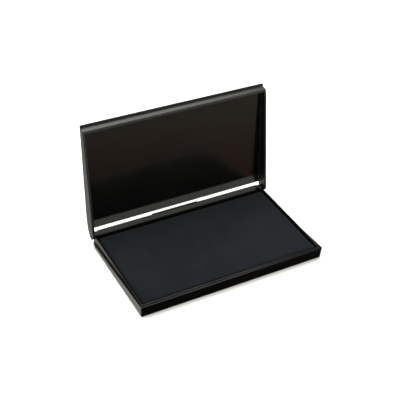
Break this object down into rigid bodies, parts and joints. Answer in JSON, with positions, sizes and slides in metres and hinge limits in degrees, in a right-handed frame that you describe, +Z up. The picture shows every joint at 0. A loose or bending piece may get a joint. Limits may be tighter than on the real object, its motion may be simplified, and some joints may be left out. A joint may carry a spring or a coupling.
{
  "type": "ink pad",
  "caption": "Hinged black plastic stamp pad case, lid leaning open, with a recessed cloth-covered ink pad filling the tray.",
  "frame": {"origin": "centre of the tray's flat underside", "axes": "+X along the long side, -Y towards the front edge the lid closes on, +Z up"},
  "size_m": [0.17, 0.1148, 0.108],
  "materials": {
    "case_plastic": "satin moulded black",
    "lid_plastic": "satin moulded black",
    "pin_plastic": "satin moulded black",
    "board": "pressed grey board",
    "felt": "dense ink-soaked felt",
    "cloth": "matt fine plain weave, inked blue-black",
    "adhesive": "soft pressure-sensitive glue film"
  },
  "bodies": {
    "base": {"base_tray": "case_plastic", "hinge_pin_right": "pin_plastic", "hinge_pin_left": "pin_plastic", "adhesive_film": "adhesive", "backing_board": "board", "ink_felt": "felt", "ink_cloth": "cloth"},
    "lid": {"lid_shell": "lid_plastic"}
  },
  "joints": [
    {"name": "lid_hinge", "type": "hinge", "parent": "base", "child": "lid", "pos_m": [0, 0.04645, 0.0104], "axis": [1, 0, 0], "range_deg": [0, 97]}
  ]
}
